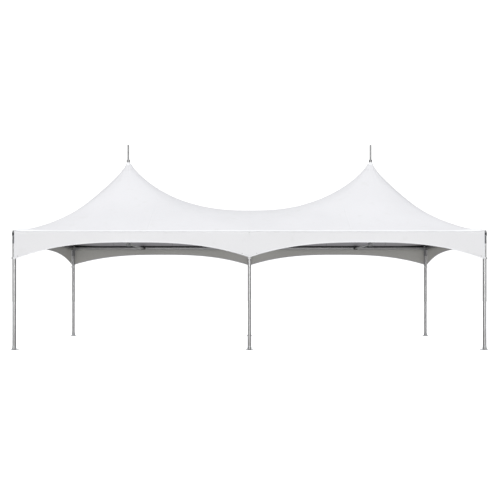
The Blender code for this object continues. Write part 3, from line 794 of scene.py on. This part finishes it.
# Patches and straps on the fabric
def make_patch(skin, name, centre, radii, spans, steps, material, lift):
    """A reinforcing patch on the roof, or under it, in rings round a point.

    Spans gives the angles a ring of some radius runs between. Steps are round and outwards.
    """
    around, outwards = steps
    mesh = bmesh.new()
    rows = []
    for ring in range(outwards + 1):
        radius = radii[0] + (radii[1] - radii[0]) * (ring / outwards) ** 1.3
        first, last = spans(radius)
        height = lift if 0 < ring < outwards else lift - 0.0012
        row = []
        for step in range(around + 1):
            turn = first + (last - first) * step / around
            x, y = centre[0] + radius * math.cos(turn), centre[1] + radius * math.sin(turn)
            row.append(mesh.verts.new(skin.point(x, y, height)))
        rows.append(row)
    add_rows(mesh, rows, False)
    bmesh.ops.remove_doubles(mesh, verts=mesh.verts, dist=0.0001)
    patch = finish_mesh(name, mesh, [material], 60)
    thicken(patch, (0, 0, 1), PATCH_THICKNESS, -1.0)
    return patch


def make_patches(skin):
    """Patches round both peaks and in the four corners, with black sheets under the corners as a painted
    shadow.
    """
    inner = CORNER_CUT_RADIUS + 0.001
    made = []
    for end, sign in ENDS.items():
        made.append(make_patch(skin, f"peak_patch_{end}", (sign * MAST_X, 0.0), PEAK_PATCH,
                               lambda radius: (0.0, 2 * math.pi), (160, 12), ROOF_OUTSIDE, 0.0010))
        for side, side_sign in SIDES.items():
            towards = math.atan2(-side_sign, -sign)

            def spans(radius, middle_turn=towards):
                half = math.pi / 4 + math.asin(FABRIC_EDGE / radius)
                return middle_turn - half, middle_turn + half

            corner = (sign * HALF_X, side_sign * HALF_Y)
            made.append(make_patch(skin, f"corner_patch_{side}_{end}", corner, (inner, CORNER_PATCH_REACH),
                                   spans, (80, 24), HEM_FABRIC_PAINTED_HIGHLIGHT, 0.0022))
            # A black sheet under each corner of the roof: painted shadow.
            made.append(make_patch(skin, f"corner_shadow_sheet_{side}_{end}", corner, (inner, CORNER_SHADOW_REACH),
                                   spans, (60, 14), PAINTED_SHADOW_BLACK, -FABRIC - 0.0004))
    return made


def make_middle_tabs():
    """The short folded tab on each long valance where it passes the middle leg, and its gusset."""
    face = HALF_Y + VALANCE_MIDDLE + FABRIC / 2
    # Name, places along the valance, half width, thickness, drop, cut of the edges and material
    parts = (("middle_tab", (-0.028, 0.028), 0.008, 0.0032, 0.092, 0.0012, HEM_FABRIC_PAINTED_HIGHLIGHT),
             ("middle_tab_gusset", (0.0,), 0.019, 0.0008, 0.090, 0.0, STRAP))
    for side, sign in SIDES.items():
        for name, places, half, thickness, drop, edge, material in parts:
            mesh = bmesh.new()
            near, far = sorted((sign * face, sign * (face + thickness)))
            for x in places:
                add_box(mesh, (x - half, near, BEAM_TOP_Z - drop), (x + half, far, BEAM_TOP_Z - 0.004), edge)
            finish_mesh(f"{name}_{side}", mesh, [material])


# Fittings on the frame
def leg_places():
    """Name, X and Y of each leg, then which way is out along X (0 in the middle) and Y."""
    for side, out_y in SIDES.items():
        for column, out_x in COLUMNS.items():
            yield f"{side}_{column}", out_x * HALF_X, out_y * HALF_Y, out_x, out_y


def make_bands(name, x, y, bands, material):
    """A piece of one or more bands round a leg."""
    mesh = bmesh.new()
    for band in bands:
        add_sleeve(mesh, x, y, band)
    finish_mesh(name, mesh, [material], 30)


def make_leg_fittings():
    """Caps on the corner legs, clamp sleeves, tie straps with buckles, and base collars."""
    for place, x, y, out_x, out_y in leg_places():
        if out_x:
            mesh = bmesh.new()
            add_loft(mesh, [octagon_ring(x, y, LEG_TOP_Z + up, LEG_SIZE + wider)
                            for wider, up in ((0.001, 0.0003), (0.001, 0.0035), (-0.004, 0.0060))])
            add_sleeve(mesh, x, y, CAP_SKIRT)
            finish_mesh(f"leg_cap_{place}", mesh, [CAP_PLASTIC], 30)
        # The rear legs' sleeves take a paler copy of the casting: painted light in the shade under the roof.
        casting = SLEEVE_CASTING if y < 0 else REAR_SLEEVE_CASTING_PAINTED_LIGHT
        make_bands(f"leg_sleeve_{place}", x, y, [CLAMP, CLAMP_LINER], casting)
        mesh = bmesh.new()
        for z in CLAMP_BOLTS_Z:
            for direction in (Vector((out_x, 0, 0)), Vector((0, -out_y, 0))):
                base = Vector((x, y, z)) + direction * (LEG_SIZE / 2 + CLAMP[2])
                if direction.length:
                    add_bolt(mesh, base, direction, 0.010)
        finish_mesh(f"leg_sleeve_bolts_{place}", mesh, [BOLT_METAL], 30)
        make_bands(f"tie_strap_{place}", x, y, [TIE_STRAP], STRAP)
        mesh = bmesh.new()
        to_buckle = Vector((out_x, 0 if out_x else -out_y, 0))
        buckle = Vector((x, y, (TIE_STRAP[0] + TIE_STRAP[1]) / 2)) + to_buckle * (LEG_SIZE / 2 + 0.0085)
        size = Vector((0.007, 0.017, 0.016) if out_x else (0.017, 0.007, 0.016))
        add_box(mesh, buckle - size, buckle + size, 0.002)
        finish_mesh(f"tie_buckle_{place}", mesh, [DARK_PLASTIC])
        make_bands(f"base_collar_{place}", x, y, [BASE_COLLAR], FOOT_METAL)


def make_corner_shoes():
    """Black shoes on the two outer faces of the corner collars."""
    skin = (COLLAR_HALF, COLLAR_HALF + SHOE_THICKNESS)
    width = (0.008 - COLLAR_HALF, COLLAR_HALF - 0.008)
    heights = (COLLAR_BOTTOM_Z + 0.007, COLLAR_TOP_Z - 0.001)
    for end, sign in ENDS.items():
        for side, side_sign in SIDES.items():
            mesh = bmesh.new()
            for spans in ((width, skin), (skin, width)):
                across = sorted(sign * (HALF_X + reach) for reach in spans[0])
                deep = sorted(side_sign * (HALF_Y + reach) for reach in spans[1])
                low, high = zip(across, deep, heights)
                add_box(mesh, low, high, 0.0004)
            finish_mesh(f"corner_shoe_{side}_{end}", mesh, [DARK_PLASTIC], 30)


def make_eave_shadow_strips(skin):
    """Black strips that stand on the eave beams and fill the gap under the roof fabric: a painted shadow of
    that gap.
    """
    inset = LEG_SIZE / 2 * math.tan(math.pi / 8)
    crown = ((0.0, 0.0022), (0.15, 0.0008), (0.5, 0.0004), (0.85, 0.0008), (1.0, 0.0022))
    for name, outward, line in eave_lines(-inset, CORNER_CUT_RADIUS, 0.08):
        mesh = bmesh.new()
        rings = []
        for place in line:
            foot = [(place + outward * out).to_3d() + Vector((0, 0, BEAM_TOP_Z + 0.0003))
                    for out in (SHADOW_STRIP_WIDTH, 0.0)]
            crest = [skin.point(*(place + outward * (SHADOW_STRIP_WIDTH * share)), -FABRIC - drop)
                     for share, drop in crown]
            rings.append(foot + crest)
        add_loft(mesh, rings)
        finish_mesh(f"eave_shadow_strip_{name}", mesh, [PAINTED_SHADOW_BLACK], 30)


def make_bracket_bolts():
    """Bolts on the bracket arms, through the beams."""
    beam_z = (BEAM_TOP_Z + BEAM_BOTTOM_Z) / 2
    for place, x, y, out_x, out_y in leg_places():
        if out_x:
            arms = [(-out_x, 0, 0, -out_y), (0, -out_y, -out_x, 0)]
        else:
            arms = [(1, 0, 0, -out_y), (-1, 0, 0, -out_y)]
        mesh = bmesh.new()
        for run_x, run_y, face_x, face_y in arms:
            for reach in BRACKET_BOLT_REACHES:
                base = (x + run_x * reach + face_x * ARM_FACE, y + run_y * reach + face_y * ARM_FACE, beam_z)
                add_bolt(mesh, base, (face_x, face_y, 0))
        finish_mesh(f"bracket_bolts_{place}", mesh, [BOLT_METAL], 30)


def make_cross_beam_fittings():
    """Bolts on the saddles, pins through the sockets, and bolts on the mast feet."""
    for end, sign in ENDS.items():
        x = sign * MAST_X
        for side, side_sign in SIDES.items():
            low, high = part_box(f"cross_beam_saddle_{side}_{end}")
            mesh = bmesh.new()
            for wing in (-1, 1):
                for z in (low.z + 0.016, high.z - 0.016):
                    base = (x + wing * 0.043, side_sign * (HALF_Y - SADDLE_FACE), z)
                    add_bolt(mesh, base, (0, -side_sign, 0), 0.010)
            pin_y = (high.y if side_sign < 0 else low.y) + side_sign * 0.022
            add_turned(mesh, (x, pin_y, low.z - 0.010), (0, 0, 1),
                       [(0.005, 0.0), (0.005, 0.010), (0.0042, 0.0102)], 14)
            finish_mesh(f"saddle_bolts_{side}_{end}", mesh, [BOLT_METAL], 30)
        low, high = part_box(f"mast_foot_{end}")
        mesh = bmesh.new()
        for face in (-1, 1):
            for spot in (-0.024, 0.024):
                add_bolt(mesh, (x + face * (high.x - x), spot, low.z + 0.026), (face, 0, 0), 0.012)
                add_bolt(mesh, (x + spot, face * high.y, low.z + 0.020), (0, face, 0), 0.010)
        finish_mesh(f"mast_foot_bolts_{end}", mesh, [BOLT_METAL], 30)


def make_peak_boots(skin):
    """A fabric boot round each spire's neck, clamped under its collar and welded to the roof."""
    first, second = Vector((1, 0, 0)), Vector((0, 1, 0))
    upper = [(SPIRE_NECK + 0.0002, 0.0365), (0.0340, 0.0365), (0.0352, 0.0340), (0.0385, 0.0240),
             (0.0450, 0.0120), (0.0530, 0.0050)]
    skirt = [(0.0600, 0.0022), (0.0720, 0.0018), (0.0727, 0.0006), (0.0727, -0.0008), (0.0600, -0.0008)]
    under = [(0.0480, 0.0020), (0.0420, 0.0080), (0.0350, 0.0220), (SPIRE_NECK + 0.0002, 0.0300)]
    for end, sign in ENDS.items():
        base = Vector((sign * MAST_X, 0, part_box(f"spire_{end}")[0].z))

        def level(radius, z):
            return circle(base + Vector((0, 0, z)), radius, first, second, 64)

        rings = [level(radius, z) for radius, z in upper]
        rings += [[skin.point(point.x, point.y, lift) for point in level(radius, 0.0)]
                  for radius, lift in skirt]
        rings += [level(radius, z) for radius, z in under]
        mesh = bmesh.new()
        add_loft(mesh, rings, closed=True)
        finish_mesh(f"peak_boot_{end}", mesh, [HEM_FABRIC_PAINTED_HIGHLIGHT], 50)


def dress_frame():
    """Give every node of the frame that still shows its finish, and soften its sharp edges."""
    # The middle legs, end beams and cross beams take darker or lighter copies of the aluminium: painted
    # shade and painted light.
    finishes = (("spire", SPIRE_METAL), (("leg_front_middle", "leg_rear_middle"), MIDDLE_LEG_METAL_PAINTED_SHADE),
                (("leg", "mast_left", "mast_right"), LEG_METAL),
                (("mast_foot", "mast_head", "corner_bracket", "middle_bracket"), GREY_CASTING),
                (("cross_beam_front", "cross_beam_rear"), CROSS_BEAM_METAL_PAINTED_LIGHT), ("eave_beam_end", END_BEAM_METAL_PAINTED_SHADE),
                ("eave_beam", BEAM_METAL_X), ("foot", FOOT_METAL), ("", CASTING))
    for name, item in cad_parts.items():
        if item.hide_render:
            continue
        finish = next(finish for start, finish in finishes if name.startswith(start))
        item.data.materials.clear()
        item.data.materials.append(finish)
        edges = item.modifiers.new("edges", "BEVEL")
        edges.width = 0.0008
        edges.segments = 2
        edges.limit_method = "ANGLE"
        edges.angle_limit = math.radians(35)


# Stage, light and camera
def make_stage():
    """A plain pale floor."""
    mesh = bmesh.new()
    bmesh.ops.create_grid(mesh, x_segments=1, y_segments=1, size=80.0)
    data = bpy.data.meshes.new("floor")
    mesh.to_mesh(data)
    mesh.free()
    floor = add_to_scene("floor", data)
    surface = Surface("pale_floor", Roughness=0.9, Specular_IOR_Level=0.1, Emission_Color=(1, 1, 1, 1),
                      Emission_Strength=0.75)
    data.materials.append(surface.finish(surface.blend(surface.cloud(0.3), (0.85, 0.85, 0.85),
                                                       (0.82, 0.82, 0.82))))
    floor.visible_diffuse = False
    floor.visible_glossy = False


def make_world():
    """A dome that is white behind the tent. As light it is brightest above and in front."""
    world = bpy.data.worlds.new("studio")
    bpy.context.scene.world = world
    world.use_nodes = True
    world.node_tree.nodes.clear()
    nodes = Nodes(world.node_tree)
    position = nodes.add("ShaderNodeTexCoord").outputs["Generated"]
    axes = nodes.add("ShaderNodeSeparateXYZ", [("Vector", position)]).outputs

    def ramp(axis, *span):
        return nodes.spread(axes[axis], *span)

    def product(first, second):
        return nodes.maths("MULTIPLY", first, second)

    low_front = product(ramp("Y", -1.0, -0.45, 0.42, 0.0), ramp("Z", -0.30, -0.10, 0.0, 1.0))
    high_front = product(ramp("Y", -1.0, -0.10, 0.16, 0.0), ramp("Z", 0.02, 0.30, 0.0, 1.0))
    front = nodes.maths("ADD", low_front, high_front)
    slopes = product(ramp("X", 0.25, 0.9, 1.0, 0.65), ramp("X", -0.9, -0.25, 0.82, 1.0))
    soft = product(nodes.maths("ADD", ramp("Z", -0.05, 0.55, 0.395, 1.13), front), slopes)
    # Metal mirrors a bright studio front between dark side panels
    panels = product(ramp("X", 0.36, 0.64, 1.0, 0.38), ramp("X", -0.64, -0.36, 0.38, 1.0))
    ground = ramp("Z", -0.75, -0.25, 0.62, 1.0)
    mirrored = product(ramp("Y", -0.6, 0.3, 0.80, 0.40), product(panels, ground))
    path = nodes.add("ShaderNodeLightPath").outputs
    strength = nodes.add("ShaderNodeMix", [(0, path["Is Glossy Ray"]), (2, soft), (3, mirrored)]).outputs[0]
    dome = nodes.add("ShaderNodeBackground", [("Color", (0.97, 0.98, 1.0, 1.0)), ("Strength", strength)])
    backdrop = nodes.add("ShaderNodeBackground", [("Strength", 1.5)])
    mix = nodes.add("ShaderNodeMixShader", [(0, path["Is Camera Ray"]), (1, dome.outputs[0]),
                                            (2, backdrop.outputs[0])])
    nodes.add("ShaderNodeOutputWorld", [("Surface", mix.outputs[0])])


def make_light():
    """A broad soft key light from the front, a little to the left."""
    data = bpy.data.lights.new("key", "SUN")
    data.energy = 0.58
    data.angle = math.radians(24)
    towards = Vector((-0.07, -0.85, 0.49))
    add_to_scene("key", data).rotation_euler = towards.to_track_quat("Z", "Y").to_euler()


def make_softboxes():
    """Two tall softboxes beside the camera, which only show as bright lines down the metal legs."""
    for end, sign in ENDS.items():
        data = bpy.data.lights.new(f"softbox_{end}", "AREA")
        data.shape = "RECTANGLE"
        data.size = 2.4
        data.size_y = 5.6
        data.energy = 230.0
        box = add_to_scene(f"softbox_{end}", data)
        box.location = (sign * 4.0, -13.0, 3.0)
        box.rotation_euler = (math.radians(90), 0, 0)
        box.visible_diffuse = False
        box.visible_camera = False


def make_camera():
    """The photograph's view: level, with its frame shifted up."""
    data = bpy.data.cameras.new("camera")
    data.sensor_width = 36.0
    data.lens = 50.37
    data.shift_x = 0.00114
    data.shift_y = 0.087
    camera = add_to_scene("camera", data)
    camera.location = (0.0, -15.888, 1.100)
    camera.rotation_euler = (math.radians(90), 0, 0)
    bpy.context.scene.camera = camera


make_camera()
make_stage()
make_world()
make_light()
make_softboxes()
bpy.context.scene.view_settings.view_transform = "Standard"

roof_fabric = make_roof()
roof_skin = RoofSkin(roof_fabric)
roof_trim = [make_welt(), *make_roof_hems(roof_skin), *make_seams(roof_skin), *make_patches(roof_skin)]
make_valances()
make_middle_tabs()
make_leg_fittings()
make_corner_shoes()
make_eave_shadow_strips(roof_skin)
make_bracket_bolts()
make_cross_beam_fittings()
make_peak_boots(roof_skin)
dress_frame()
